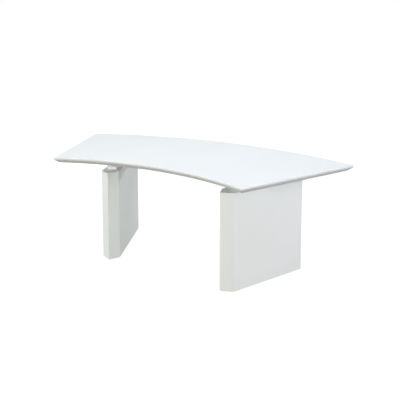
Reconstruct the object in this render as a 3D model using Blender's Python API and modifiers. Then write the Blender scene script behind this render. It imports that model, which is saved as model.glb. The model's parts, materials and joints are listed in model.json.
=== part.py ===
"""Crescent desk: a curved, bevel-edged desktop on two hollow slab pedestals.

Metres, +Z up. The origin is on the floor under the middle of the desk's outline, and the
concave edge, where a person sits, faces -Y. Each pedestal is a six-sided box of mitred boards
on two screw feet. A riser block holds the desktop clear of the box, and two tie rods clamp
the base plate, the box, its riser and the desktop together.

A pedestal is drawn in its own frame: +Y runs along it towards the convex edge, +X across it,
and Z is the height above the floor. An empty carries that frame to its place.
"""

import math

import bmesh
import bpy
from mathutils import Vector

# What every piece keeps to
SEAT_GAP = 0.0003
OVERRUN = 0.002
MERGE_DISTANCE = 0.00001
FACES_THE_WAY = 0.5
ROUND_SIDES = 24
HEX_SIDES = 6

# Desktop
DESK_HEIGHT = 0.760
INNER_RADIUS = 1.730
DESK_DEPTH = 0.930
HALF_SPREAD = math.radians(24.4)
DESKTOP_THICKNESS = 0.038
EDGE_BAND = 0.012
BEVEL_INSET = 0.030
TOP_EASE = 0.002
EASE_STEPS = 2
ARC_STEPS = 64

# Pedestal box
RISER_HEIGHT = 0.088
FLOOR_GAP = 0.004
PEDESTAL_WIDTH = 0.124
PEDESTAL_INSET = 0.283
PEDESTAL_SETBACK = 0.112
NOSE_LENGTH = 0.062
BOARD = 0.018
TOP_PLATE = 0.025
BASE_PLATE = 0.025
RIB = 0.018
RIB_TO_ROD = 0.075

# Riser block
RISER_SETBACK = 0.108
RISER_SIDE_MARGIN = 0.027
RISER_ROUND = 0.006
RISER_ROUND_STEPS = 4

# Tie rod, its nut and washer under the base plate, and its insert in the desktop
ROD_RADIUS = 0.005
ROD_MARGIN = 0.055
ROD_HOLE_CLEARANCE = 0.0008
ROD_COVER = 0.0014
ROD_TAIL = 0.0015
NUT_ACROSS_FLATS = 0.017
NUT_HEIGHT = 0.008
WASHER_RADIUS = 0.0125
WASHER_THICKNESS = 0.0025
COUNTERBORE_CLEARANCE = 0.003
DESK_INSERT_WALL = 0.0025
DESK_INSERT_LENGTH = 0.022
DESK_INSERT_RELIEF = 0.002
ROD_SHORTFALL = 0.004

# Screw foot: a threaded stem with a hexagonal collar, which turns in a pad that doesn't
FOOT_MARGIN = 0.085
FOOT_TRAVEL = 0.012
PAD_RADIUS = 0.017
PAD_THICKNESS = 0.008
PAD_EASE = 0.0015
PAD_CLEARANCE = 0.0025
STEM_RADIUS = 0.004
PIN_RADIUS = 0.003
PIN_LENGTH = 0.004
COLLAR_ACROSS_FLATS = 0.013
COLLAR_HEIGHT = 0.004
FOOT_INSERT_WALL = 0.0022
FOOT_INSERT_FLANGE = 0.0035
FOOT_INSERT_FLANGE_THICKNESS = 0.0015

# Worked out from the sizes above
OUTER_RADIUS = INNER_RADIUS + DESK_DEPTH
CURVE_CENTRE_Y = -(OUTER_RADIUS + INNER_RADIUS * math.cos(HALF_SPREAD)) / 2
UNDERSIDE = DESK_HEIGHT - DESKTOP_THICKNESS
PEDESTAL_TOP = UNDERSIDE - RISER_HEIGHT
PEDESTAL_LENGTH = DESK_DEPTH - 2 * PEDESTAL_SETBACK
RISER_LENGTH = PEDESTAL_LENGTH - 2 * RISER_SETBACK
RISER_WIDTH = PEDESTAL_WIDTH - 2 * RISER_SIDE_MARGIN
ROD_Y = RISER_LENGTH / 2 - ROD_MARGIN
FOOT_Y = PEDESTAL_LENGTH / 2 - FOOT_MARGIN
RIB_Y = ROD_Y - RIB_TO_ROD
ROD_HOLE = ROD_RADIUS + ROD_HOLE_CLEARANCE
THREAD_BORE = ROD_RADIUS + SEAT_GAP
STEM_BORE = STEM_RADIUS + SEAT_GAP
NUT_CORNER_RADIUS = NUT_ACROSS_FLATS / 2 / math.cos(math.pi / HEX_SIDES)
COLLAR_CORNER_RADIUS = COLLAR_ACROSS_FLATS / 2 / math.cos(math.pi / HEX_SIDES)
BASE_TOP = FLOOR_GAP + BASE_PLATE
COUNTERBORE_TOP = FLOOR_GAP + ROD_COVER + ROD_TAIL + NUT_HEIGHT + WASHER_THICKNESS + 2 * SEAT_GAP
COUNTERBORE_RADIUS = max(WASHER_RADIUS, NUT_CORNER_RADIUS) + COUNTERBORE_CLEARANCE
COLLAR_LOW = PAD_THICKNESS + SEAT_GAP
COLLAR_TOP = COLLAR_LOW + COLLAR_HEIGHT
FLANGE_LOW = COLLAR_TOP + SEAT_GAP
FOOT_RECESS_TOP = FLANGE_LOW + FOOT_INSERT_FLANGE_THICKNESS + SEAT_GAP
FOOT_RECESS_RADIUS = PAD_RADIUS + PAD_CLEARANCE


def clear_scene():
    for old in list(bpy.data.objects):
        bpy.data.objects.remove(old, do_unlink=True)


def new_collection(name):
    collection = bpy.data.collections.new(name)
    bpy.context.scene.collection.children.link(collection)
    return collection


def linear(hex_colour):
    """A hex sRGB colour as the linear values that a shader takes."""
    channels = [int(hex_colour[i : i + 2], 16) / 255 for i in (0, 2, 4)]
    return [c / 12.92 if c <= 0.04045 else ((c + 0.055) / 1.055) ** 2.4 for c in channels] + [1]


def new_material(name, hex_colour, roughness, metallic=0):
    material = bpy.data.materials.new(name)
    material.use_nodes = True
    shader = material.node_tree.nodes["Principled BSDF"]
    shader.inputs["Base Color"].default_value = linear(hex_colour)
    shader.inputs["Roughness"].default_value = roughness
    shader.inputs["Metallic"].default_value = metallic
    return material


clear_scene()
PARTS = new_collection("curved_desk")
CUTTERS = new_collection("cutters")
LACQUER = new_material("white satin lacquer on MDF", "F1F3F3", 0.32)
BARE_MDF = new_material("bare MDF", "B7935F", 0.85)
ZINC = new_material("zinc-plated steel", "C4C6C8", 0.35, 1)
BRASS = new_material("turned brass", "C9A44C", 0.3, 1)
NYLON = new_material("moulded grey nylon", "8D8F90", 0.5)


def add_object(name, mesh, parent=None, at=(0, 0, 0), material=None):
    """Links a mesh as a part, or as a cutter where it has no material."""
    made = bpy.data.objects.new(name, mesh)
    made.parent = parent
    made.location = at
    if material:
        mesh.materials.append(material)
        PARTS.objects.link(made)
    else:
        made.hide_render = True
        made.display_type = "WIRE"
        CUTTERS.objects.link(made)
    return made


def slab_mesh(name, outline, low, high):
    """The mesh of a flat outline given thickness, between two heights."""
    curve = bpy.data.curves.new(name, "CURVE")
    curve.dimensions = "2D"
    curve.fill_mode = "BOTH"
    curve.extrude = (high - low) / 2
    spline = curve.splines.new("POLY")
    spline.points.add(len(outline) - 1)
    for point, place in zip(spline.points, outline):
        point.co = (place[0], place[1], 0, 1)
    spline.use_cyclic_u = True
    guide = bpy.data.objects.new(name, curve)
    bpy.context.scene.collection.objects.link(guide)
    graph = bpy.context.evaluated_depsgraph_get()
    mesh = bpy.data.meshes.new_from_object(guide.evaluated_get(graph))
    bpy.data.objects.remove(guide, do_unlink=True)
    shape = bmesh.new()
    shape.from_mesh(mesh)
    bmesh.ops.remove_doubles(shape, verts=shape.verts, dist=MERGE_DISTANCE)
    for way in (-1, 1):
        cap = [face for face in shape.faces if face.normal.z * way > FACES_THE_WAY]
        bmesh.ops.dissolve_faces(shape, faces=cap)
    bmesh.ops.translate(shape, verts=shape.verts, vec=(0, 0, (low + high) / 2))
    bmesh.ops.recalc_face_normals(shape, faces=shape.faces)
    shape.to_mesh(mesh)
    shape.free()
    return mesh


def prism_mesh(name, radius, low, high, sides=ROUND_SIDES):
    """An upright cylinder on the Z axis, or a hexagonal bar where it has six sides."""
    shape = bmesh.new()
    bmesh.ops.create_cone(
        shape, cap_ends=True, segments=sides, radius1=radius, radius2=radius, depth=high - low
    )
    bmesh.ops.translate(shape, verts=shape.verts, vec=(0, 0, (low + high) / 2))
    mesh = bpy.data.meshes.new(name)
    shape.to_mesh(mesh)
    shape.free()
    return mesh


def turned(name, profile, parent, at, material):
    """A piece turned about its own Z axis. The profile runs down its outer side."""
    shape = bmesh.new()
    points = [shape.verts.new((radius, 0, height)) for radius, height in profile]
    closed = profile[0][0] > 0
    ends = points[1:] + points[:1] if closed else points[1:]
    for start, end in zip(points, ends):
        shape.edges.new((start, end))
    mesh = bpy.data.meshes.new(name)
    shape.to_mesh(mesh)
    shape.free()
    made = add_object(name, mesh, parent, at, material)
    screw = made.modifiers.new("turn", "SCREW")
    screw.steps = ROUND_SIDES
    screw.render_steps = ROUND_SIDES
    screw.use_merge_vertices = True
    screw.merge_threshold = MERGE_DISTANCE
    return made


def boolean(target, other, operation):
    change = target.modifiers.new(other.name, "BOOLEAN")
    change.operation = operation
    change.object = other
    change.solver = "EXACT"


def drill(target, name, radius, place, low, high):
    """Cuts an upright round hole through or into a piece, between two heights."""
    mesh = prism_mesh(name, radius, low, high)
    cutter = add_object(name, mesh, place[0], (place[1], place[2], 0))
    boolean(target, cutter, "DIFFERENCE")


def meeting_point(first, first_way, second, second_way):
    """Where two straight lines in the plan meet."""
    across = first_way.cross(second_way)
    return first + first_way * ((second - first).cross(second_way) / across)


def inward(outline, distance):
    """A convex outline, counter-clockwise, with every side moved in by a distance."""
    moved = []
    corners = [Vector(corner) for corner in outline]
    for before, corner, after in zip(corners[-1:] + corners[:-1], corners, corners[1:] + corners[:1]):
        way_in, way_out = (corner - before).normalized(), (after - corner).normalized()
        first = corner + Vector((-way_in.y, way_in.x)) * distance
        second = corner + Vector((-way_out.y, way_out.x)) * distance
        moved.append(meeting_point(first, way_in, second, way_out))
    return moved


def crescent():
    """The desktop's outline: the convex arc from its right end, then the concave arc back."""
    ways = [HALF_SPREAD * (1 - 2 * step / ARC_STEPS) for step in range(ARC_STEPS + 1)]
    outer = [(OUTER_RADIUS * math.sin(w), CURVE_CENTRE_Y + OUTER_RADIUS * math.cos(w)) for w in ways]
    inner = [(INNER_RADIUS * math.sin(w), CURVE_CENTRE_Y + INNER_RADIUS * math.cos(w)) for w in ways]
    return outer + inner[::-1]


def pedestal_outline():
    """The six-sided plan of a pedestal, counter-clockwise from its front tip."""
    half_width, half_length = PEDESTAL_WIDTH / 2, PEDESTAL_LENGTH / 2
    shoulder = half_length - NOSE_LENGTH
    return [
        (0, -half_length),
        (half_width, -shoulder),
        (half_width, shoulder),
        (0, half_length),
        (-half_width, shoulder),
        (-half_width, -shoulder),
    ]


def rounded_rectangle(width, length, radius, steps):
    """A rectangle in the plan with round corners, counter-clockwise."""
    outline = []
    for turn, (side, end) in enumerate(((1, 1), (-1, 1), (-1, -1), (1, -1))):
        middle_x, middle_y = side * (width / 2 - radius), end * (length / 2 - radius)
        for step in range(steps + 1):
            way = (turn + step / steps) * math.pi / 2
            outline.append((middle_x + radius * math.cos(way), middle_y + radius * math.sin(way)))
    return outline


def make_desktop():
    """The slab, an upright band over a bevel that runs in underneath, with its top edge eased."""
    mesh = slab_mesh("desktop", crescent(), DESK_HEIGHT - EDGE_BAND, DESK_HEIGHT)
    shape = bmesh.new()
    shape.from_mesh(mesh)
    bmesh.ops.inset_region(
        shape,
        faces=[face for face in shape.faces if face.normal.z < -FACES_THE_WAY],
        thickness=BEVEL_INSET,
        depth=DESKTOP_THICKNESS - EDGE_BAND,
        use_even_offset=True,
        use_boundary=True,
    )
    rim = [
        edge
        for edge in shape.edges
        if sorted(round(face.normal.z) for face in edge.link_faces) == [0, 1]
    ]
    bmesh.ops.bevel(
        shape, geom=rim, offset=TOP_EASE, segments=EASE_STEPS, affect="EDGES", profile=0.5
    )
    shape.to_mesh(mesh)
    shape.free()
    return add_object("desktop", mesh, material=LACQUER)


def make_boards(side, frame):
    """The six boards round a pedestal, mitred where they meet."""
    outline = pedestal_outline()
    outer = inward(outline, -SEAT_GAP / 2)
    inner = inward(outline, BOARD + SEAT_GAP / 2)
    out, into = ("outer", "inner") if side == "right" else ("inner", "outer")
    names = [
        f"front_nose_{out}_board",
        f"{out}_side_panel",
        f"rear_nose_{out}_board",
        f"rear_nose_{into}_board",
        f"{into}_side_panel",
        f"front_nose_{into}_board",
    ]
    for i, name in enumerate(names):
        j = (i + 1) % len(names)
        quad = inward([outer[i], outer[j], inner[j], inner[i]], SEAT_GAP / 2)
        full_name = f"{side}_{name}"
        mesh = slab_mesh(full_name, quad, FLOOR_GAP, PEDESTAL_TOP)
        add_object(full_name, mesh, frame, material=LACQUER)


def make_plates(side, frame):
    """The top and base plates, let in between the boards."""
    outline = inward(pedestal_outline(), BOARD + SEAT_GAP)
    plates = []
    for name, low, high, material in (
        ("top_plate", PEDESTAL_TOP - TOP_PLATE, PEDESTAL_TOP, LACQUER),
        ("base_plate", FLOOR_GAP, BASE_TOP, BARE_MDF),
    ):
        full_name = f"{side}_{name}"
        mesh = slab_mesh(full_name, outline, low, high)
        plates.append(add_object(full_name, mesh, frame, material=material))
    return plates


def make_rib(side, end, along, frame):
    """A bare board across the inside of the box, which keeps its sides apart."""
    half_width = PEDESTAL_WIDTH / 2 - BOARD - SEAT_GAP
    name = f"{side}_{end}_rib"
    outline = [
        (-half_width, along - RIB / 2),
        (half_width, along - RIB / 2),
        (half_width, along + RIB / 2),
        (-half_width, along + RIB / 2),
    ]
    mesh = slab_mesh(name, outline, BASE_TOP + SEAT_GAP, PEDESTAL_TOP - TOP_PLATE - SEAT_GAP)
    add_object(name, mesh, frame, material=BARE_MDF)


def make_riser(side, frame):
    name = f"{side}_riser_block"
    outline = rounded_rectangle(RISER_WIDTH, RISER_LENGTH, RISER_ROUND, RISER_ROUND_STEPS)
    mesh = slab_mesh(name, outline, PEDESTAL_TOP + SEAT_GAP, UNDERSIDE - SEAT_GAP)
    return add_object(name, mesh, frame, material=LACQUER)


def make_tie_rod(side, end, along, frame, drilled):
    """A tie rod with its nut and washer, its insert in the desktop and the holes for them."""
    desktop, top_plate, base_plate, riser = drilled
    label = f"{side}_{end}"
    place = (frame, 0, along)
    at = (0, along, 0)
    washer_high = COUNTERBORE_TOP - SEAT_GAP
    washer_low = washer_high - WASHER_THICKNESS
    nut_high = washer_low - SEAT_GAP
    nut_low = nut_high - NUT_HEIGHT
    insert_low = UNDERSIDE + SEAT_GAP
    insert_high = insert_low + DESK_INSERT_LENGTH
    insert_radius = THREAD_BORE + DESK_INSERT_WALL

    rod_mesh = prism_mesh(f"{label}_tie_rod", ROD_RADIUS, nut_low - ROD_TAIL, insert_high - ROD_SHORTFALL)
    add_object(f"{label}_tie_rod", rod_mesh, frame, at, ZINC)
    sleeve = [
        (insert_radius, insert_high),
        (insert_radius, insert_low),
        (THREAD_BORE, insert_low),
        (THREAD_BORE, insert_high),
    ]
    turned(f"{label}_desktop_insert", sleeve, frame, at, BRASS)
    ring = [
        (WASHER_RADIUS, washer_high),
        (WASHER_RADIUS, washer_low),
        (THREAD_BORE, washer_low),
        (THREAD_BORE, washer_high),
    ]
    turned(f"{label}_rod_washer", ring, frame, at, ZINC)
    nut_mesh = prism_mesh(f"{label}_rod_nut", NUT_CORNER_RADIUS, nut_low, nut_high, HEX_SIDES)
    nut = add_object(f"{label}_rod_nut", nut_mesh, frame, at, ZINC)

    drill(nut, f"{label}_nut_bore", THREAD_BORE, place, nut_low - OVERRUN, nut_high + OVERRUN)
    drill(base_plate, f"{label}_base_hole", ROD_HOLE, place, FLOOR_GAP, BASE_TOP + OVERRUN)
    drill(
        base_plate,
        f"{label}_counterbore",
        COUNTERBORE_RADIUS,
        place,
        FLOOR_GAP - OVERRUN,
        COUNTERBORE_TOP,
    )
    drill(
        top_plate,
        f"{label}_plate_hole",
        ROD_HOLE,
        place,
        PEDESTAL_TOP - TOP_PLATE - OVERRUN,
        PEDESTAL_TOP + OVERRUN,
    )
    drill(riser, f"{label}_riser_hole", ROD_HOLE, place, PEDESTAL_TOP - OVERRUN, UNDERSIDE + OVERRUN)
    drill(
        desktop,
        f"{label}_insert_hole",
        insert_radius + SEAT_GAP,
        place,
        UNDERSIDE - OVERRUN,
        insert_high + DESK_INSERT_RELIEF,
    )


def make_foot(side, end, along, frame, base_plate):
    """A screw foot: its insert in the base plate, the stem that turns, and the pad below it."""
    label = f"{side}_{end}"
    place = (frame, 0, along)
    at = (0, along, 0)
    insert_radius = STEM_BORE + FOOT_INSERT_WALL
    flange_top = FLANGE_LOW + FOOT_INSERT_FLANGE_THICKNESS
    socket_floor = PAD_THICKNESS - PIN_LENGTH - SEAT_GAP

    sleeve = [
        (insert_radius, BASE_TOP),
        (insert_radius, flange_top),
        (insert_radius + FOOT_INSERT_FLANGE, flange_top),
        (insert_radius + FOOT_INSERT_FLANGE, FLANGE_LOW),
        (STEM_BORE, FLANGE_LOW),
        (STEM_BORE, BASE_TOP),
    ]
    turned(f"{label}_foot_insert", sleeve, frame, at, ZINC)

    stem_profile = [
        (0, BASE_TOP + FOOT_TRAVEL),
        (STEM_RADIUS, BASE_TOP + FOOT_TRAVEL),
        (STEM_RADIUS, COLLAR_LOW),
        (PIN_RADIUS, COLLAR_LOW),
        (PIN_RADIUS, COLLAR_LOW - PIN_LENGTH),
        (0, COLLAR_LOW - PIN_LENGTH),
    ]
    stem = turned(f"{label}_foot_stem", stem_profile, frame, at, ZINC)
    collar_mesh = prism_mesh(
        f"{label}_foot_collar", COLLAR_CORNER_RADIUS, COLLAR_LOW, COLLAR_TOP, HEX_SIDES
    )
    collar = add_object(f"{label}_foot_collar", collar_mesh, frame, at)
    boolean(stem, collar, "UNION")

    pad_profile = [
        (PIN_RADIUS + SEAT_GAP, PAD_THICKNESS),
        (PAD_RADIUS - PAD_EASE, PAD_THICKNESS),
        (PAD_RADIUS, PAD_THICKNESS - PAD_EASE),
        (PAD_RADIUS, PAD_EASE),
        (PAD_RADIUS - PAD_EASE, 0),
        (0, 0),
    ]
    socket = [(0, socket_floor), (PIN_RADIUS + SEAT_GAP, socket_floor)]
    turned(f"{label}_foot_pad", socket + pad_profile, frame, at, NYLON)

    drill(
        base_plate,
        f"{label}_foot_recess",
        FOOT_RECESS_RADIUS,
        place,
        FLOOR_GAP - OVERRUN,
        FOOT_RECESS_TOP,
    )
    drill(
        base_plate,
        f"{label}_foot_hole",
        insert_radius + SEAT_GAP,
        place,
        FLOOR_GAP,
        BASE_TOP + OVERRUN,
    )


def make_pedestal(side, desktop):
    """One pedestal with its riser, tie rods and feet, placed by an empty at its middle."""
    hand = 1 if side == "right" else -1
    middle_radius = (INNER_RADIUS + OUTER_RADIUS) / 2
    from_end = PEDESTAL_INSET + PEDESTAL_WIDTH / 2
    sine, cosine = math.sin(HALF_SPREAD), math.cos(HALF_SPREAD)
    frame = bpy.data.objects.new(f"{side}_pedestal_frame", None)
    frame.location = (
        hand * (middle_radius * sine - from_end * cosine),
        CURVE_CENTRE_Y + middle_radius * cosine + from_end * sine,
        0,
    )
    frame.rotation_euler.z = -hand * HALF_SPREAD
    PARTS.objects.link(frame)

    make_boards(side, frame)
    top_plate, base_plate = make_plates(side, frame)
    riser = make_riser(side, frame)
    for end, way in (("front", -1), ("rear", 1)):
        make_rib(side, end, way * RIB_Y, frame)
        make_tie_rod(side, end, way * ROD_Y, frame, (desktop, top_plate, base_plate, riser))
        make_foot(side, end, way * FOOT_Y, frame, base_plate)


desk = make_desktop()
for hand_name in ("left", "right"):
    make_pedestal(hand_name, desk)
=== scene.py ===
"""The curved desk as it looks: white satin lacquer on MDF, on a pale floor in soft studio light.

Metres, +Z up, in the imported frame. The slab, pedestals, risers, base boards, tie rods, nuts, washers
and screw feet are finer meshes in place of the frame's plain solids. The ribs and the inserts, which
stay hidden, keep their solids. Each piece has the finish of its real material.
"""

import json
import math

import bmesh
import bpy
from mathutils import Matrix, Vector


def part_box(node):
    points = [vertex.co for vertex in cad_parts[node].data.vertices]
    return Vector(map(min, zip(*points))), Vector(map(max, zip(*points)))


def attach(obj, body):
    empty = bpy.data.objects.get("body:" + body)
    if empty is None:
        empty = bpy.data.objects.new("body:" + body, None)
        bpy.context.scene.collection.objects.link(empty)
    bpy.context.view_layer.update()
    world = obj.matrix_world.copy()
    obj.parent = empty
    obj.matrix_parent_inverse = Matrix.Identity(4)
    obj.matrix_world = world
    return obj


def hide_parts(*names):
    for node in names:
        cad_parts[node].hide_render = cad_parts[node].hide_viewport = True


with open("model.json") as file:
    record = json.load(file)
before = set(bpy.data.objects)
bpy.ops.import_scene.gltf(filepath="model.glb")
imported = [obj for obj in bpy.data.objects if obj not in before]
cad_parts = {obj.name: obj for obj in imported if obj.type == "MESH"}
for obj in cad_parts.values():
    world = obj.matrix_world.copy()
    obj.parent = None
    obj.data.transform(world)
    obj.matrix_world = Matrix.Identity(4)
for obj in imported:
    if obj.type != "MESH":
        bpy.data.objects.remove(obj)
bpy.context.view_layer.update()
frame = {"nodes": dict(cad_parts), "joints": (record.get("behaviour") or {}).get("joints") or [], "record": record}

MM = 0.001
DESK_BODY = "desk_body"
SIDES = ("left", "right")
ENDS = ("front", "rear")

# Desktop: a crescent between two arcs about one centre. Its heights come from the frame, and its
# faces are split into sectors, so that none is one long bent polygon
INNER_RADIUS = 1730 * MM
OUTER_RADIUS = 2660 * MM
HALF_SPREAD = math.radians(24.4)
EDGE_BAND = 12 * MM
BEVEL_INSET = 30 * MM
TOP_EASE = 2 * MM
BAND_ROUND = 20 * MM
BAND_ROUND_STEPS = 12
ARRIS_EASE = 1.6 * MM
TIP_EASE = 2.5 * MM
DESK_ARC_STEPS = 160
DESK_SECTORS = 16
SPLIT_TOLERANCE = MM / 100

# Pedestal and its riser, in the pedestal's own plan: +Y runs along it towards the convex edge
PEDESTAL_WIDTH = 124 * MM
PEDESTAL_LENGTH = 706 * MM
NOSE_LENGTH = 62 * MM
BOARD = 18 * MM
TOP_PLATE = 25 * MM
CORNER_EASE = 3.5 * MM
RIM_EASE = 1.2 * MM
RISER_WIDTH = 70 * MM
RISER_LENGTH = 490 * MM
RISER_ROUND = 6 * MM
RISER_EASE = 0.6 * MM

# Holes in the boards, for the tie rods, their inserts and washers, and the screw feet
ROD_HOLE_RADIUS = 5.8 * MM
INSERT_HOLE_RADIUS = 8.1 * MM
INSERT_HOLE_DEPTH = 24.3 * MM
COUNTERBORE_RADIUS = 15.5 * MM
FOOT_RECESS_RADIUS = 19.5 * MM
FOOT_INSERT_HOLE_RADIUS = 6.8 * MM
FOOT_INSERT_FLANGE = 1.5 * MM
SEAT_GAP = 0.3 * MM
OVERRUN = 2 * MM

# Tie rods with an M10 thread at each end, and their nuts and washers, bored alike
ROD_RADIUS = 5 * MM
ROD_THREAD_PITCH = 1.5 * MM
ROD_THREAD_DEPTH = 0.92 * MM
ROD_THREAD_LENGTH = 24 * MM
ROD_STEPS = 32
NUT_ACROSS_FLATS = 17 * MM
NUT_CHAMFER = 0.9 * MM
BORE_RADIUS = 5.3 * MM
BORE_CHAMFER = 0.5 * MM
WASHER_RADIUS = 12.5 * MM
WASHER_EASE = 0.4 * MM

# Screw foot: an M8 thread with a hexagonal collar, and a pad that the stem turns in
STEM_RADIUS = 4 * MM
STEM_THREAD_PITCH = 1.25 * MM
STEM_THREAD_DEPTH = 0.77 * MM
COLLAR_ACROSS_FLATS = 13 * MM
COLLAR_HEIGHT = 4 * MM
COLLAR_CHAMFER = 0.7 * MM
PIN_RADIUS = 3 * MM
PIN_LENGTH = 4 * MM
PAD_EASE = 1.5 * MM
PAD_FOOT_EASE = 1 * MM
PAD_SOCKET_CLEARANCE = 0.3 * MM

# Both threads: in pitches, the root lies half of one from the crest, and the slope of the flanks
# leaves the crest's flat about an eighth of one wide
ROOT_FROM_CREST = 0.5
THREAD_SLOPE = 2.3
THREAD_LEAD_IN = 1.2 * MM
STEPS_PER_TURN = 8

# Steps of a rounded edge, of a round outline and of a hexagon with its turned corners
EASE_STEPS = 5
ROUND_STEPS = 64
HEXAGON_STEPS = 48

# Shading: an edge that turns further than this stays sharp, and the large faces beside a rounded
# edge set its normals, so that they look flat up to it
SQUARE_EDGE = math.radians(60)
FLAT_WEIGHT = 100

# Levels from the frame, alike on both sides, and the centre of the desktop's arcs
DESK_LOW, DESK_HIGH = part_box("desktop")
PANEL_LOW, PANEL_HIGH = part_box("left_outer_side_panel")
RISER_LOW, RISER_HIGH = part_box("left_riser_block")
CURVE_CENTRE = Vector((0, DESK_HIGH.y - OUTER_RADIUS))


def linear(hex_colour):
    """A hex sRGB colour as the linear values that shaders and lamps take."""
    channels = [int(hex_colour[i : i + 2], 16) / 255 for i in (0, 2, 4)]
    return [
        channel / 12.92 if channel <= 0.04045 else ((channel + 0.055) / 1.055) ** 2.4
        for channel in channels
    ]


def add_node(tree, kind, inputs=None, stops=(), **settings):
    """Adds a shader node. Each of its inputs is a value, or another node's output to link.

    An input goes by its name, or by its index where the node gives two inputs one name. Stops are
    the positions and hex colours of a colour ramp.
    """
    made = tree.nodes.new("ShaderNode" + kind)
    for name, value in settings.items():
        setattr(made, name, value)
    for name, value in (inputs or {}).items():
        if isinstance(value, bpy.types.NodeSocket):
            tree.links.new(value, made.inputs[name])
        else:
            made.inputs[name].default_value = value
    for index, (position, hex_colour) in enumerate(stops):
        elements = made.color_ramp.elements
        element = elements[index] if index < len(elements) else elements.new(1)
        element.position = position
        element.color = (*linear(hex_colour), 1)
    return made


def start_finish(name, **shader_inputs):
    """A material with its Principled shader, and the object's own coordinates in metres."""
    material = bpy.data.materials.new(name)
    material.use_nodes = True
    tree = material.node_tree
    shader = tree.nodes["Principled BSDF"]
    for socket, value in shader_inputs.items():
        shader.inputs[socket].default_value = value
    place = add_node(tree, "TexCoord").outputs["Object"]
    return material, tree, shader, place


def pattern(place, size, **inputs):
    """The inputs of a texture whose features are that many metres across."""
    return {"Vector": place, "Scale": 1 / size, **inputs}


# Lacquer: the film drifts in tone over a pass of the spray gun, and the board under it was sanded
# by hand
SPRAY_PASS = 420 * MM
HAZE_PATCH = 60 * MM
SANDING_WAVE = 90 * MM
SANDING_DEPTH = 0.12 * MM
# Real orange peel is 1 to 2 mm across: it is drawn at 5 mm, so that it shows from a step away
PEEL_SIZE = 5 * MM
PEEL_DEPTH = 0.03 * MM
# An arris looks warmer over this width. The mask is full where the cosine between the surface's own
# normal and the rounded one falls to this, and then mixes in this much of the warmer colour
ARRIS_WIDTH = 3 * MM
ARRIS_COSINE = 0.88
ARRIS_WARMTH = 0.5
# A Mix node repeats its inputs' names for each type of data, so its colours go by their index
MIX_FIRST_COLOUR = 6
MIX_SECOND_COLOUR = 7
MIX_COLOUR_OUT = 2


def arris_mask(tree):
    """How far the surface's own normal turns from the one that is rounded over an arris."""
    own = add_node(tree, "NewGeometry").outputs["Normal"]
    softened = add_node(tree, "Bevel", {"Radius": ARRIS_WIDTH}, samples=4).outputs["Normal"]
    alike = add_node(tree, "VectorMath", {0: own, 1: softened}, operation="DOT_PRODUCT")
    mapping = {
        "Value": alike.outputs["Value"],
        "From Min": 1,
        "From Max": ARRIS_COSINE,
        "To Min": 0,
        "To Max": ARRIS_WARMTH,
    }
    return add_node(tree, "MapRange", mapping).outputs["Result"]


def satin_lacquer():
    """White polyurethane lacquer, sprayed on sanded MDF and left satin.

    The film is even and opaque with a soft sheen. It has the orange peel of spraying, a slow
    waviness from sanding, and it draws back a little from each arris, where it looks warmer.
    """
    material, tree, shader, place = start_finish("white satin lacquer sprayed on MDF", IOR=1.47)
    tone = add_node(tree, "TexNoise", pattern(place, SPRAY_PASS, Detail=2)).outputs["Fac"]
    stops = [(0.3, "EFF3F3"), (0.7, "F3F6F6")]
    film = add_node(tree, "ValToRGB", {"Fac": tone}, stops).outputs["Color"]
    mix = {
        "Factor": arris_mask(tree),
        MIX_FIRST_COLOUR: film,
        MIX_SECOND_COLOUR: (*linear("E6E3DC"), 1),
    }
    colour = add_node(tree, "Mix", mix, data_type="RGBA").outputs[MIX_COLOUR_OUT]
    tree.links.new(colour, shader.inputs["Base Color"])

    haze = add_node(tree, "TexNoise", pattern(place, HAZE_PATCH, Detail=5)).outputs["Fac"]
    mapping = {"Value": haze, "From Min": 0.3, "From Max": 0.7, "To Min": 0.54, "To Max": 0.62}
    sheen = add_node(tree, "MapRange", mapping).outputs["Result"]
    tree.links.new(sheen, shader.inputs["Roughness"])

    sanding = add_node(tree, "TexNoise", pattern(place, SANDING_WAVE, Detail=1)).outputs["Fac"]
    relief = {"Height": sanding, "Strength": 0.3, "Distance": SANDING_DEPTH}
    waviness = add_node(tree, "Bump", relief).outputs["Normal"]
    peel = add_node(tree, "TexNoise", pattern(place, PEEL_SIZE, Detail=2)).outputs["Fac"]
    relief = {"Height": peel, "Strength": 0.35, "Distance": PEEL_DEPTH, "Normal": waviness}
    surface = add_node(tree, "Bump", relief).outputs["Normal"]
    tree.links.new(surface, shader.inputs["Normal"])
    return material


# MDF: its fibres are about 0.3 mm thick, and are drawn at 1.5 mm, so that the flecks show
FIBRE_SIZE = 1.5 * MM
FIBRE_DEPTH = 0.1 * MM


def bare_mdf():
    """Medium-density fibreboard, sawn and sanded: matt brown fibre with fine dark flecks."""
    finish = start_finish("bare MDF sawn and sanded", IOR=1.45, Roughness=0.85)
    material, tree, shader, place = finish
    fibre = add_node(tree, "TexNoise", pattern(place, FIBRE_SIZE, Detail=6)).outputs["Fac"]
    stops = [(0.3, "8F6B40"), (0.5, "B48D5A"), (0.72, "C9A573")]
    colour = add_node(tree, "ValToRGB", {"Fac": fibre}, stops).outputs["Color"]
    tree.links.new(colour, shader.inputs["Base Color"])
    relief = {"Height": fibre, "Strength": 0.5, "Distance": FIBRE_DEPTH}
    surface = add_node(tree, "Bump", relief).outputs["Normal"]
    tree.links.new(surface, shader.inputs["Normal"])
    return material


# Zinc: patches of passivation over the fine crystals of the plating, which are drawn coarser
ZINC_PATCH = 9 * MM
ZINC_GRAIN = 0.6 * MM
ZINC_GRAIN_DEPTH = 0.02 * MM


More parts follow.
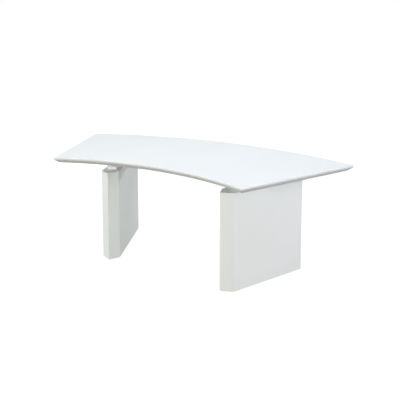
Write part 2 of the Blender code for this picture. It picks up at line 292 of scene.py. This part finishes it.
def zinc_plate():
    """Steel, barrel plated with zinc: bright and slightly grained, blue to straw in patches."""
    material, tree, shader, place = start_finish("zinc-plated steel", Metallic=1)
    patches = add_node(tree, "TexNoise", pattern(place, ZINC_PATCH, Detail=3)).outputs["Fac"]
    stops = [(0.35, "BFC5CC"), (0.55, "C9CBCB"), (0.75, "CFC9B8")]
    colour = add_node(tree, "ValToRGB", {"Fac": patches}, stops).outputs["Color"]
    tree.links.new(colour, shader.inputs["Base Color"])
    grain = add_node(tree, "TexNoise", pattern(place, ZINC_GRAIN, Detail=4)).outputs["Fac"]
    mapping = {"Value": grain, "To Min": 0.24, "To Max": 0.42}
    dullness = add_node(tree, "MapRange", mapping).outputs["Result"]
    tree.links.new(dullness, shader.inputs["Roughness"])
    relief = {"Height": grain, "Strength": 0.3, "Distance": ZINC_GRAIN_DEPTH}
    surface = add_node(tree, "Bump", relief).outputs["Normal"]
    tree.links.new(surface, shader.inputs["Normal"])
    return material


# Brass: a wave texture repeats about three times in its size, so the rings lie 2 mm apart. Real
# ones are 0.1 to 0.2 mm apart, too fine to show
TARNISH_PATCH = 7 * MM
TURNING_RINGS = 6 * MM
RING_DEPTH = 0.03 * MM


def turned_brass():
    """Free-cutting brass from the lathe: yellow metal with fine rings, dulled in patches."""
    material, tree, shader, place = start_finish("turned brass", Metallic=1)
    tarnish = add_node(tree, "TexNoise", pattern(place, TARNISH_PATCH, Detail=3)).outputs["Fac"]
    stops = [(0.35, "B8924A"), (0.65, "D2B064")]
    colour = add_node(tree, "ValToRGB", {"Fac": tarnish}, stops).outputs["Color"]
    tree.links.new(colour, shader.inputs["Base Color"])
    wave = pattern(place, TURNING_RINGS, Distortion=0.4)
    rings = add_node(tree, "TexWave", wave, bands_direction="Z").outputs["Fac"]
    mapping = {"Value": tarnish, "To Min": 0.4, "To Max": 0.22}
    dullness = add_node(tree, "MapRange", mapping).outputs["Result"]
    tree.links.new(dullness, shader.inputs["Roughness"])
    relief = {"Height": rings, "Strength": 0.3, "Distance": RING_DEPTH}
    surface = add_node(tree, "Bump", relief).outputs["Normal"]
    tree.links.new(surface, shader.inputs["Normal"])
    return material


# Nylon: the flow of the melt, and the grain of the mould, which is drawn coarser too
MELT_FLOW = 12 * MM
MOULD_GRAIN = 0.8 * MM
MOULD_GRAIN_DEPTH = 0.04 * MM


def moulded_nylon():
    """Glass-filled nylon, injection moulded: mid grey with the fine grain of an eroded mould."""
    material, tree, shader, place = start_finish("moulded grey nylon", IOR=1.53)
    flow = add_node(tree, "TexNoise", pattern(place, MELT_FLOW, Detail=3)).outputs["Fac"]
    stops = [(0.35, "87898A"), (0.65, "94969A")]
    colour = add_node(tree, "ValToRGB", {"Fac": flow}, stops).outputs["Color"]
    tree.links.new(colour, shader.inputs["Base Color"])
    grain = add_node(tree, "TexNoise", pattern(place, MOULD_GRAIN, Detail=3)).outputs["Fac"]
    mapping = {"Value": grain, "To Min": 0.42, "To Max": 0.6}
    dullness = add_node(tree, "MapRange", mapping).outputs["Result"]
    tree.links.new(dullness, shader.inputs["Roughness"])
    relief = {"Height": grain, "Strength": 0.4, "Distance": MOULD_GRAIN_DEPTH}
    surface = add_node(tree, "Bump", relief).outputs["Normal"]
    tree.links.new(surface, shader.inputs["Normal"])
    return material


FINISHES = {
    "lacquered_mdf": satin_lacquer(),
    "bare_mdf": bare_mdf(),
    "zinc_plated_steel": zinc_plate(),
    "turned_brass": turned_brass(),
    "moulded_nylon": moulded_nylon(),
}


def joint_place(name):
    """The point that a joint turns about or slides from."""
    joint = next(joint for joint in frame["joints"] if joint["name"] == name)
    return Vector(joint["pos_m"])


def pedestal_matrix(side):
    """The place of a pedestal's own plan, from the turning axes of its two feet."""
    front, rear = (joint_place(f"{side}_{end}_foot_turn") for end in ENDS)
    along = (rear - front).normalized()
    across = along.cross(Vector((0, 0, 1)))
    middle = (front + rear) / 2
    matrix = Matrix((across, along, (0, 0, 1))).transposed().to_4x4()
    return Matrix.Translation((middle.x, middle.y, 0)) @ matrix


def rod_places(side):
    """Where the tie rods stand in the pedestal's own plan."""
    into_plan = pedestal_matrix(side).inverted()
    places = []
    for end in ENDS:
        low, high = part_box(f"{side}_{end}_tie_rod")
        places.append((into_plan @ ((low + high) / 2)).to_2d())
    return places


def rod_matrix(side, end):
    """The place of a tie rod's own axis, square to the pedestal."""
    centre = rod_places(side)[ENDS.index(end)]
    return pedestal_matrix(side) @ Matrix.Translation(centre.to_3d())


def foot_matrix(side, end):
    """The place of a screw foot's own axis, on the floor."""
    axis = joint_place(f"{side}_{end}_foot_turn")
    return Matrix.Translation((axis.x, axis.y, 0))


def arc_corner(before, corner, after, radius, steps):
    """The points of an arc that rounds one corner of a flat outline."""
    to_before, to_after = (before - corner).normalized(), (after - corner).normalized()
    half = to_before.angle(to_after) / 2
    middle = corner + (to_before + to_after).normalized() * (radius / math.sin(half))
    start = corner + to_before * (radius / math.tan(half)) - middle
    end = corner + to_after * (radius / math.tan(half)) - middle
    first = math.atan2(start.y, start.x)
    turn = math.remainder(math.atan2(end.y, end.x) - first, math.tau)
    points = []
    for step in range(steps + 1):
        angle = first + turn * step / steps
        points.append(middle + Vector((math.cos(angle), math.sin(angle))) * radius)
    return points


def neighbours(corners):
    """Each corner of a closed outline, between the one before it and the one after."""
    return zip(corners[-1:] + corners[:-1], corners, corners[1:] + corners[:1])


def rounded(corners, radius, steps):
    """A closed outline with every corner rounded alike."""
    points = []
    for before, corner, after in neighbours(corners):
        points += arc_corner(before, corner, after, radius, steps)
    return points


def inward(corners, distance):
    """A convex outline, counter-clockwise, with every side moved in by a distance."""
    moved = []
    for before, corner, after in neighbours(corners):
        to_before, to_after = (before - corner).normalized(), (after - corner).normalized()
        half = to_before.angle(to_after) / 2
        moved.append(corner + (to_before + to_after).normalized() * (distance / math.sin(half)))
    return moved


def hexagon():
    """The plan of a pedestal, counter-clockwise from its front nose."""
    half_width, half_length = PEDESTAL_WIDTH / 2, PEDESTAL_LENGTH / 2
    shoulder = half_length - NOSE_LENGTH
    corners = [
        (0, -half_length),
        (half_width, -shoulder),
        (half_width, shoulder),
        (0, half_length),
        (-half_width, shoulder),
        (-half_width, -shoulder),
    ]
    return [Vector(corner) for corner in corners]


def rectangle(width, length):
    """A rectangle about the middle, counter-clockwise."""
    corners = [(-1, -1), (1, -1), (1, 1), (-1, 1)]
    return [Vector((x * width / 2, y * length / 2)) for x, y in corners]


def circle(radius, steps=ROUND_STEPS):
    """A round outline about the middle, counter-clockwise."""
    angles = [math.tau * step / steps for step in range(steps)]
    return [Vector((radius * math.cos(angle), radius * math.sin(angle))) for angle in angles]


def at_height(outline, height):
    """The ring of points that a flat outline makes at one level."""
    return [point.to_3d() + Vector((0, 0, height)) for point in outline]


def polar_ring(height, radius_at, steps=HEXAGON_STEPS):
    """A ring of points about the upright axis, each as far out as a function of its angle says."""
    points = []
    for step in range(steps):
        angle = math.tau * step / steps
        radius = radius_at(angle)
        points.append(Vector((radius * math.cos(angle), radius * math.sin(angle), height)))
    return points


def eased_ends(inset_ring, low, high, ease):
    """The rings of an upright solid whose top and bottom edges are rounded."""
    quarter = [math.pi / 2 * step / EASE_STEPS for step in range(EASE_STEPS + 1)]
    foot = [
        (ease * (1 - math.sin(angle)), low + ease * (1 - math.cos(angle))) for angle in quarter
    ]
    head = [(inset, low + high - height) for inset, height in reversed(foot)]
    return [at_height(inset_ring(inset), height) for inset, height in foot + head]


def skin(rings, bored=False):
    """A closed mesh through rings of points, each with as many points.

    Each end has a cap, or where the piece is bored through, the last ring joins the first.
    """
    shape = bmesh.new()
    rows = [[shape.verts.new(point) for point in ring] for ring in rings]
    if bored:
        rows.append(rows[0])
    for low, high in zip(rows, rows[1:]):
        for i in range(len(low)):
            j = (i + 1) % len(low)
            shape.faces.new((low[i], low[j], high[j], high[i]))
    if not bored:
        shape.faces.new(rows[0][::-1])
        shape.faces.new(rows[-1])
    bmesh.ops.recalc_face_normals(shape, faces=shape.faces)
    return shape


def mesh_object(name, shape, matrix):
    """Puts a shape in the scene as a smooth mesh, with its place written in the mesh."""
    mesh = bpy.data.meshes.new(name)
    shape.transform(matrix)
    shape.to_mesh(mesh)
    shape.free()
    mesh.shade_smooth()
    made = bpy.data.objects.new(name, mesh)
    bpy.context.scene.collection.objects.link(made)
    return made


def cylinder(matrix, centre, radius, low, high):
    """An upright round cutter, placed in the plan that a matrix carries."""
    outline = [centre + point for point in circle(radius)]
    shape = skin([at_height(outline, low), at_height(outline, high)])
    shape.transform(matrix)
    return shape


def rod_holes(side, radius, low, high):
    """The cutters for the two tie rods on one side, from one level to another."""
    matrix = pedestal_matrix(side)
    return [cylinder(matrix, centre, radius, low, high) for centre in rod_places(side)]


def cut(target, *shapes):
    """Cuts closed meshes out of an object for good."""
    for shape in shapes:
        cutter = mesh_object("cutter", shape, Matrix())
        change = target.modifiers.new("cut", "BOOLEAN")
        change.object = cutter
        change.solver = "EXACT"
        graph = bpy.context.evaluated_depsgraph_get()
        result = bpy.data.meshes.new_from_object(target.evaluated_get(graph))
        target.modifiers.remove(change)
        target.data = result
        bpy.data.objects.remove(cutter)


def dress(made, body, slot, *replaced, threaded=False):
    """Finishes a piece: its material, shading that keeps flats flat, its body and its nodes.

    A threaded piece is smooth all over, because sharp edges would break its flanks into dashes.
    """
    made.data.materials.clear()
    made.data.materials.append(FINISHES[slot])
    if not threaded:
        made.data.set_sharp_from_angle(angle=SQUARE_EDGE)
    shading = made.modifiers.new("flats stay flat", "WEIGHTED_NORMAL")
    shading.weight = FLAT_WEIGHT
    shading.keep_sharp = True
    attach(made, body)
    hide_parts(*replaced)


def crescent(inset):
    """The desktop's outline moved in by a distance, with its four tips slightly rounded."""
    outline = []
    for radius, way in ((OUTER_RADIUS - inset, 1), (INNER_RADIUS + inset, -1)):
        reach = HALF_SPREAD - math.asin(inset / radius)
        for step in range(DESK_ARC_STEPS + 1):
            angle = way * reach * (1 - 2 * step / DESK_ARC_STEPS)
            outline.append(CURVE_CENTRE + Vector((math.sin(angle), math.cos(angle))) * radius)
    tips = (0, DESK_ARC_STEPS, DESK_ARC_STEPS + 1, 2 * DESK_ARC_STEPS + 1)
    points = []
    for i, corner in enumerate(outline):
        if i in tips:
            after = outline[(i + 1) % len(outline)]
            points += arc_corner(outline[i - 1], corner, after, TIP_EASE, EASE_STEPS)
        else:
            points.append(corner)
    return points


def split_into_sectors(shape):
    """Splits the crescent's faces at even angles about the centre of its arcs."""
    for sector in range(1, DESK_SECTORS):
        angle = HALF_SPREAD * (2 * sector / DESK_SECTORS - 1)
        bmesh.ops.bisect_plane(
            shape,
            geom=list(shape.verts) + list(shape.edges) + list(shape.faces),
            dist=SPLIT_TOLERANCE,
            plane_co=CURVE_CENTRE.to_3d(),
            plane_no=(math.cos(angle), -math.sin(angle), 0),
        )


def make_desktop():
    """The slab: a rounded top edge, an upright band, and a long bevel that runs in under it."""
    low, high = DESK_LOW.z, DESK_HIGH.z
    top_inside = Vector((BEVEL_INSET, high))
    top_corner = Vector((0, high))
    band_foot = Vector((0, high - EDGE_BAND))
    bevel_foot = Vector((BEVEL_INSET, low))
    foot_inside = Vector((2 * BEVEL_INSET, low))
    profile = arc_corner(top_inside, top_corner, band_foot, TOP_EASE, EASE_STEPS)
    profile += arc_corner(top_corner, band_foot, bevel_foot, BAND_ROUND, BAND_ROUND_STEPS)
    profile += arc_corner(band_foot, bevel_foot, foot_inside, ARRIS_EASE, EASE_STEPS)
    shape = skin([at_height(crescent(level.x), level.y) for level in profile])
    split_into_sectors(shape)
    made = mesh_object("desktop_slab", shape, Matrix())
    for side in SIDES:
        cut(made, *rod_holes(side, INSERT_HOLE_RADIUS, low - OVERRUN, low + INSERT_HOLE_DEPTH))
    dress(made, DESK_BODY, "lacquered_mdf", "desktop")


def make_pedestal_shell(side):
    """Six boards and the top plate under one lacquered skin: their mitres are filled and rubbed down."""
    matrix = pedestal_matrix(side)
    low, high = PANEL_LOW.z, PANEL_HIGH.z

    def ring(inset):
        return rounded(inward(hexagon(), inset), CORNER_EASE - inset, EASE_STEPS)

    made = mesh_object(f"{side}_pedestal_shell", skin(eased_ends(ring, low, high, RIM_EASE)), matrix)
    inside = inward(hexagon(), BOARD)
    cavity = skin([at_height(inside, low - OVERRUN), at_height(inside, high - TOP_PLATE)])
    cavity.transform(matrix)
    holes = rod_holes(side, ROD_HOLE_RADIUS, high - TOP_PLATE - OVERRUN, high + OVERRUN)
    cut(made, cavity, *holes)
    boards = [f"{side}_{end}_nose_{face}_board" for end in ENDS for face in ("outer", "inner")]
    panels = [f"{side}_{face}_side_panel" for face in ("outer", "inner")]
    dress(made, DESK_BODY, "lacquered_mdf", *boards, *panels, f"{side}_top_plate")


def make_riser(side):
    """The block that holds the desktop clear of its pedestal."""
    low, high = RISER_LOW.z, RISER_HIGH.z

    def ring(inset):
        corners = inward(rectangle(RISER_WIDTH, RISER_LENGTH), inset)
        return rounded(corners, RISER_ROUND - inset, 2 * EASE_STEPS)

    rings = eased_ends(ring, low, high, RISER_EASE)
    made = mesh_object(f"{side}_riser", skin(rings), pedestal_matrix(side))
    cut(made, *rod_holes(side, ROD_HOLE_RADIUS, low - OVERRUN, high + OVERRUN))
    dress(made, DESK_BODY, "lacquered_mdf", f"{side}_riser_block")


def base_board_holes(side, low, high):
    """The bores through a base board, and what is sunk in it from below for washers and feet."""
    matrix = pedestal_matrix(side)
    for end, rod in zip(ENDS, rod_places(side)):
        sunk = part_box(f"{side}_{end}_rod_washer")[1].z + SEAT_GAP
        yield cylinder(matrix, rod, ROD_HOLE_RADIUS, low - OVERRUN, high + OVERRUN)
        yield cylinder(matrix, rod, COUNTERBORE_RADIUS, low - OVERRUN, sunk)
        foot = (matrix.inverted() @ joint_place(f"{side}_{end}_foot_turn")).to_2d()
        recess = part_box(f"{side}_{end}_foot_insert")[0].z + FOOT_INSERT_FLANGE + SEAT_GAP
        yield cylinder(matrix, foot, FOOT_INSERT_HOLE_RADIUS, low - OVERRUN, high + OVERRUN)
        yield cylinder(matrix, foot, FOOT_RECESS_RADIUS, low - OVERRUN, recess)


def make_base_board(side):
    """The board that closes the foot of a pedestal and carries its two screw feet."""
    low, high = (corner.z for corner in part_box(f"{side}_base_plate"))
    outline = inward(hexagon(), BOARD + SEAT_GAP)
    shape = skin([at_height(outline, low), at_height(outline, high)])
    made = mesh_object(f"{side}_base_board", shape, pedestal_matrix(side))
    cut(made, *base_board_holes(side, low, high))
    dress(made, DESK_BODY, "bare_mdf", f"{side}_base_plate")


def thread_fullness(angle, height, pitch):
    """How far out a right-hand thread stands, from 0 in its root to 1 on its crest."""
    off_crest = abs(math.remainder(height / pitch - angle / math.tau, 1))
    return min(1, max(0, THREAD_SLOPE * (ROOT_FROM_CREST - off_crest)))


def rod_radius(angle, height, low, high):
    """The radius of a tie rod: a plain shank that is threaded and turned down towards each end."""
    from_end = min(height - low, high - height)
    run_out = min(1, max(0, (ROD_THREAD_LENGTH - from_end) / ROD_THREAD_PITCH))
    groove = run_out * (1 - thread_fullness(angle, height, ROD_THREAD_PITCH))
    tip = 1 - from_end / THREAD_LEAD_IN
    return ROD_RADIUS - ROD_THREAD_DEPTH * max(groove, tip)


def make_rod(side, end):
    """A tie rod, which draws the desktop, the riser and the pedestal together."""
    label = f"{side}_{end}"
    low, high = (corner.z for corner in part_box(f"{label}_tie_rod"))
    rows = int(ROD_THREAD_LENGTH / ROD_THREAD_PITCH * STEPS_PER_TURN)
    rises = [ROD_THREAD_LENGTH * row / rows for row in range(rows + 1)]
    levels = [low + rise for rise in rises] + [high - rise for rise in reversed(rises)]
    rings = [
        polar_ring(level, lambda angle: rod_radius(angle, level, low, high), ROD_STEPS)
        for level in levels
    ]
    made = mesh_object(f"{label}_threaded_rod", skin(rings), rod_matrix(side, end))
    dress(made, DESK_BODY, "zinc_plated_steel", f"{label}_tie_rod", threaded=True)


def make_washer(side, end):
    """The stamped washer over the nut, with the soft rim that barrel plating leaves."""
    label = f"{side}_{end}"
    low, high = (corner.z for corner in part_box(f"{label}_rod_washer"))
    bore_low, bore_high = Vector((BORE_RADIUS, low)), Vector((BORE_RADIUS, high))
    rim_low, rim_high = Vector((WASHER_RADIUS, low)), Vector((WASHER_RADIUS, high))
    profile = arc_corner(bore_low, rim_low, rim_high, WASHER_EASE, EASE_STEPS)
    profile += arc_corner(rim_low, rim_high, bore_high, WASHER_EASE, EASE_STEPS)
    profile += [bore_high, bore_low]
    rings = [at_height(circle(point.x), point.y) for point in profile]
    made = mesh_object(f"{label}_flat_washer", skin(rings, bored=True), rod_matrix(side, end))
    dress(made, DESK_BODY, "zinc_plated_steel", f"{label}_rod_washer")


def hexagon_radius(angle, across_flats):
    """How far a hexagon reaches from its middle at an angle."""
    from_flat = math.remainder(angle, math.tau / 6)
    return across_flats / 2 / math.cos(from_flat)


def hexagon_rings(low, high, across_flats, chamfer):
    """The rings up a hexagonal bar whose corners are turned off at both ends."""
    corner = across_flats / 2 / math.cos(math.pi / 6)
    rings = []
    for height, limit in (
        (low, corner - chamfer),
        (low + chamfer, corner),
        (high - chamfer, corner),
        (high, corner - chamfer),
    ):
        rings.append(
            polar_ring(height, lambda angle: min(limit, hexagon_radius(angle, across_flats)))
        )
    return rings


def make_nut(side, end):
    """The nut under a tie rod, with turned corners and a countersunk bore."""
    label = f"{side}_{end}"
    low, high = (corner.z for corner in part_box(f"{label}_rod_nut"))
    rings = hexagon_rings(low, high, NUT_ACROSS_FLATS, NUT_CHAMFER)
    for height, radius in (
        (high, BORE_RADIUS + BORE_CHAMFER),
        (high - BORE_CHAMFER, BORE_RADIUS),
        (low + BORE_CHAMFER, BORE_RADIUS),
        (low, BORE_RADIUS + BORE_CHAMFER),
    ):
        rings.append(at_height(circle(radius, HEXAGON_STEPS), height))
    made = mesh_object(f"{label}_hexagon_nut", skin(rings, bored=True), rod_matrix(side, end))
    dress(made, DESK_BODY, "zinc_plated_steel", f"{label}_rod_nut")


def stem_radius(angle, height, top):
    """The radius of a foot's thread, which runs out to its core at the top."""
    depth = STEM_THREAD_DEPTH * thread_fullness(angle, height, STEM_THREAD_PITCH)
    lead_in = min(1, (top - height) / THREAD_LEAD_IN)
    return STEM_RADIUS - STEM_THREAD_DEPTH + depth * lead_in


def make_stem(side, end):
    """The threaded stem of a screw foot, with its collar for a spanner and the pin in the pad."""
    label = f"{side}_{end}"
    low, top = (corner.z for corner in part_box(f"{label}_foot_stem"))
    collar_low = low + PIN_LENGTH
    collar_top = collar_low + COLLAR_HEIGHT
    rings = [at_height(circle(PIN_RADIUS, HEXAGON_STEPS), height) for height in (low, collar_low)]
    rings += hexagon_rings(collar_low, collar_top, COLLAR_ACROSS_FLATS, COLLAR_CHAMFER)
    rows = int((top - collar_top) / STEM_THREAD_PITCH * STEPS_PER_TURN)
    for row in range(rows + 1):
        height = collar_top + (top - collar_top) * row / rows
        rings.append(polar_ring(height, lambda angle: stem_radius(angle, height, top)))
    made = mesh_object(f"{label}_threaded_stem", skin(rings), foot_matrix(side, end))
    dress(made, f"{label}_stem", "zinc_plated_steel", f"{label}_foot_stem", threaded=True)


def make_pad(side, end):
    """The pad under a screw foot, with rounded rims and a socket for the stem's pin."""
    label = f"{side}_{end}"
    low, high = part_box(f"{label}_foot_pad")
    radius = (high.x - low.x) / 2
    stem_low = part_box(f"{label}_foot_stem")[0].z
    socket = PIN_RADIUS + PAD_SOCKET_CLEARANCE
    socket_floor = stem_low - PAD_SOCKET_CLEARANCE
    foot_corner = Vector((radius, low.z))
    head_corner = Vector((radius, high.z))
    profile = arc_corner(Vector((0, low.z)), foot_corner, head_corner, PAD_FOOT_EASE, EASE_STEPS)
    profile += arc_corner(foot_corner, head_corner, Vector((0, high.z)), PAD_EASE, EASE_STEPS)
    profile += [Vector((socket, high.z)), Vector((socket, socket_floor))]
    rings = [at_height(circle(point.x), point.y) for point in profile]
    made = mesh_object(f"{label}_round_pad", skin(rings), foot_matrix(side, end))
    dress(made, f"{label}_pad", "moulded_nylon", f"{label}_foot_pad")


def finish_frame_nodes():
    """Gives every node of the frame, shown or replaced, the finish of its real material."""
    for row in frame["record"]["subparts"]:
        node = frame["nodes"][row["node"]]
        for slot in node.material_slots:
            slot.material = FINISHES[row["material_slot"]]


def seen_ray(tree):
    """1 for the rays that show the background: the camera's, and those that gloss or glass sends on."""
    path = add_node(tree, "LightPath").outputs
    either = {0: path["Is Camera Ray"], 1: path["Is Glossy Ray"]}
    first = add_node(tree, "Math", either, operation="MAXIMUM").outputs["Value"]
    either = {0: first, 1: path["Is Transmission Ray"]}
    return add_node(tree, "Math", either, operation="MAXIMUM").outputs["Value"]


# Floor: where it is seen it glows white, and gives back this share of the lamps' light, which draws
# the desk's faint shadow. Its glow grows with distance, to make up for that light, which falls off
FLOOR_RADIUS = 40
FLOOR_SIDES = 96
FLOOR_SHADOW_SHARE = (0.3, 0.3, 0.3)
FLOOR_GLOW_NEAR = 0.87
FLOOR_GLOW_FAR = 0.99
FLOOR_NEAR = 1.4
FLOOR_FAR = 4.5
FLOOR_BOUNCE = "3C3B39"


def make_floor():
    """A pale floor: plain white to the camera but for the desk's shadow, and grey to bounced light."""
    bpy.ops.mesh.primitive_circle_add(vertices=FLOOR_SIDES, radius=FLOOR_RADIUS, fill_type="NGON")
    floor = bpy.context.object
    floor.name = "studio_floor"
    material = bpy.data.materials.new("matt white studio floor")
    material.use_nodes = True
    tree = material.node_tree
    tree.nodes.clear()
    seen = seen_ray(tree)
    paper = add_node(tree, "BsdfDiffuse", {"Color": (*FLOOR_SHADOW_SHARE, 1)}).outputs["BSDF"]
    place = add_node(tree, "TexCoord").outputs["Object"]
    away = add_node(tree, "VectorMath", {0: place}, operation="LENGTH").outputs["Value"]
    mapping = {
        "Value": away,
        "From Min": FLOOR_NEAR,
        "From Max": FLOOR_FAR,
        "To Min": FLOOR_GLOW_NEAR,
        "To Max": FLOOR_GLOW_FAR,
    }
    strength = add_node(tree, "MapRange", mapping, interpolation_type="SMOOTHSTEP").outputs["Result"]
    glow = add_node(tree, "Emission", {"Strength": strength}).outputs["Emission"]
    shown = add_node(tree, "AddShader", {0: paper, 1: glow}).outputs["Shader"]
    bounce = add_node(tree, "BsdfDiffuse", {"Color": (*linear(FLOOR_BOUNCE), 1)}).outputs["BSDF"]
    mixed = add_node(tree, "MixShader", {0: seen, 1: bounce, 2: shown}).outputs["Shader"]
    add_node(tree, "OutputMaterial", {"Surface": mixed})
    floor.data.materials.append(material)


# Lamps: one softbox overhead, and a ring of them round the desk, low enough to reach its upright
# faces. Each has its place, what it is aimed at, its width and height, its watts and its colour
RING_LEVEL = 1.95
RING_SIZE = (2.4, 0.7)
DESK_MIDDLE = (0, 0, 0.6)
SOFTBOXES = {
    "overhead": ((0.4, 0.0, 3.6), (0.4, 0, 0.7), (3.0, 3.0), 54.5, "F0F5FF"),
    "left": ((-5.3, -1.3, RING_LEVEL), DESK_MIDDLE, RING_SIZE, 70, "FFFEFB"),
    "front_left": ((-4.2, -3.5, RING_LEVEL), DESK_MIDDLE, RING_SIZE, 62, "FFFFF7"),
    "front": ((0.3, -5.4, RING_LEVEL), DESK_MIDDLE, RING_SIZE, 108, "FFFDF4"),
    "front_right": ((3.1, -4.4, RING_LEVEL), DESK_MIDDLE, RING_SIZE, 75, "FFFBF5"),
    "right": ((5.4, 0.2, RING_LEVEL), DESK_MIDDLE, RING_SIZE, 69, "F3F0FF"),
    "low_rear_right": ((4.3, 3.3, 0.9), (0, 0, 0.5), (2.0, 0.8), 82, "FCFFFA"),
    "rear_left": ((-3.9, 3.9, RING_LEVEL), DESK_MIDDLE, RING_SIZE, 75, "FFFFFF"),
}
# A small lamp far off behind the desk: it shines in under the top and draws the shadow edge of the
# top on the left pedestal's inner side
BACK_LAMP_AROUND = math.radians(38)
BACK_LAMP_RISE = math.radians(10.5)
BACK_LAMP_STRENGTH = 0.45
BACK_LAMP_SPREAD = math.radians(1)


def make_lamp(lamp, place, turn):
    """Hangs a lamp that gloss doesn't show: its glare would blank the top when seen from behind."""
    hung = bpy.data.objects.new(lamp.name, lamp)
    hung.location = place
    hung.rotation_euler = turn
    hung.visible_glossy = False
    bpy.context.scene.collection.objects.link(hung)


def make_light():
    """The soft light of a studio, and the lamp behind the desk."""
    for name, (place, target, size, watts, colour) in SOFTBOXES.items():
        softbox = bpy.data.lights.new(f"{name}_softbox", "AREA")
        softbox.shape = "RECTANGLE"
        softbox.size, softbox.size_y = size
        softbox.energy = watts
        softbox.color = linear(colour)
        aim = (Vector(target) - Vector(place)).to_track_quat("-Z", "Y").to_euler()
        make_lamp(softbox, place, aim)
    back = bpy.data.lights.new("back_lamp", "SUN")
    back.energy = BACK_LAMP_STRENGTH
    back.angle = BACK_LAMP_SPREAD
    make_lamp(back, (0, 0, 0), (BACK_LAMP_RISE - math.pi / 2, 0, -BACK_LAMP_AROUND))


# Surroundings
AMBIENT = "FFFFFF"
AMBIENT_STRENGTH = 0.2


def make_surroundings():
    """White where it is seen, and a plain soft light on everything else."""
    world = bpy.data.worlds.new("studio")
    bpy.context.scene.world = world
    world.use_nodes = True
    tree = world.node_tree
    tree.nodes.clear()
    seen = {"Color": (1, 1, 1, 1), "Strength": 1}
    white = add_node(tree, "Background", seen).outputs["Background"]
    ambient = {"Color": (*linear(AMBIENT), 1), "Strength": AMBIENT_STRENGTH}
    soft = add_node(tree, "Background", ambient).outputs["Background"]
    mixed = add_node(tree, "MixShader", {0: seen_ray(tree), 1: soft, 2: white}).outputs["Shader"]
    add_node(tree, "OutputWorld", {"Surface": mixed})


# Camera: worked out from the desk's corners in the photograph. It looks down a little, which leaves
# its shift small enough for the views from other sides to hold the whole desk
CAMERA_PLACE = (1.9648, -3.0538, 1.5765)
CAMERA_YAW = math.radians(31.052)
CAMERA_PITCH = math.radians(6.345)
CAMERA_LENS = 47.597
CAMERA_SHIFT = -0.26


def make_camera():
    """The camera at the photograph's viewing angle."""
    camera = bpy.data.objects.new("camera", bpy.data.cameras.new("camera"))
    camera.location = CAMERA_PLACE
    camera.rotation_euler = (math.pi / 2 - CAMERA_PITCH, 0, CAMERA_YAW)
    camera.data.lens = CAMERA_LENS
    camera.data.shift_y = CAMERA_SHIFT
    bpy.context.scene.collection.objects.link(camera)
    bpy.context.scene.camera = camera


finish_frame_nodes()
make_desktop()
for side_name in SIDES:
    make_pedestal_shell(side_name)
    make_riser(side_name)
    make_base_board(side_name)
    for end_name in ENDS:
        make_rod(side_name, end_name)
        make_washer(side_name, end_name)
        make_nut(side_name, end_name)
        make_stem(side_name, end_name)
        make_pad(side_name, end_name)
make_floor()
make_light()
make_surroundings()
make_camera()
bpy.context.scene.view_settings.view_transform = "Standard"
